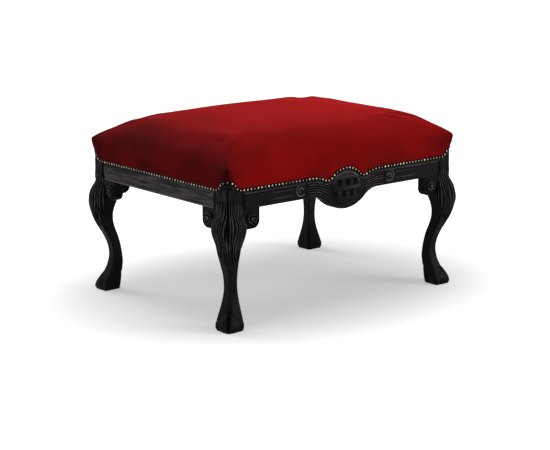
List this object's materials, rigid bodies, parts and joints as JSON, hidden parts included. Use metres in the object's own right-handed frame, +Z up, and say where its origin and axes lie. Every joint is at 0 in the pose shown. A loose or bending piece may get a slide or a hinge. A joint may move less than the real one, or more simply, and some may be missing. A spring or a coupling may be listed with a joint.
{
  "type": "upholstered bench",
  "caption": "Low bench with a crowned velvet seat close-nailed over a black carved frame, on cabriole legs with hair-carved knees, ear pieces and cloven hoof feet.",
  "frame": {"origin": "on the floor, midway between the four hoofs", "axes": "+X along the length to the right, -Y towards the front with its cartouche, +Z up"},
  "size_m": [0.7928, 0.5988, 0.4748],
  "materials": {
    "ebonised_wood": "black stain under satin polish, carved",
    "plain_wood": "unfinished",
    "velvet": "short cut pile, dark red",
    "antique_brass": "pale antique, domed",
    "steel": "blued",
    "jute_webbing": "woven strap",
    "hessian": "open weave",
    "pad_filling": "soft filling",
    "fibre_wadding": "soft wadding",
    "black_cotton": "matt woven"
  },
  "bodies": {
    "root": {"back_left_corner_block": "plain_wood", "back_left_ear_long": "ebonised_wood", "back_left_ear_short": "ebonised_wood", "back_left_leg": "ebonised_wood", "back_nails": "antique_brass", "back_rail": "ebonised_wood", "back_right_corner_block": "plain_wood", "back_right_ear_long": "ebonised_wood", "back_right_ear_short": "ebonised_wood", "back_right_leg": "ebonised_wood", "corner_block_screws": "steel", "corner_nails": "antique_brass", "crosswise_webbing": "jute_webbing", "dust_cover": "black_cotton", "dust_cover_tacks": "steel", "ear_dowels": "plain_wood", "fibre_wrap": "fibre_wadding", "front_left_corner_block": "plain_wood", "front_left_ear_long": "ebonised_wood", "front_left_ear_short": "ebonised_wood", "front_left_leg": "ebonised_wood", "front_nails": "antique_brass", "front_rail": "ebonised_wood", "front_right_corner_block": "plain_wood", "front_right_ear_long": "ebonised_wood", "front_right_ear_short": "ebonised_wood", "front_right_leg": "ebonised_wood", "hessian": "hessian", "left_nails": "antique_brass", "left_rail": "ebonised_wood", "lengthwise_webbing": "jute_webbing", "rail_dowels": "plain_wood", "right_nails": "antique_brass", "right_rail": "ebonised_wood", "seat_pad": "pad_filling", "velvet_cover": "velvet", "webbing_tacks": "steel"}
  },
  "joints": []
}
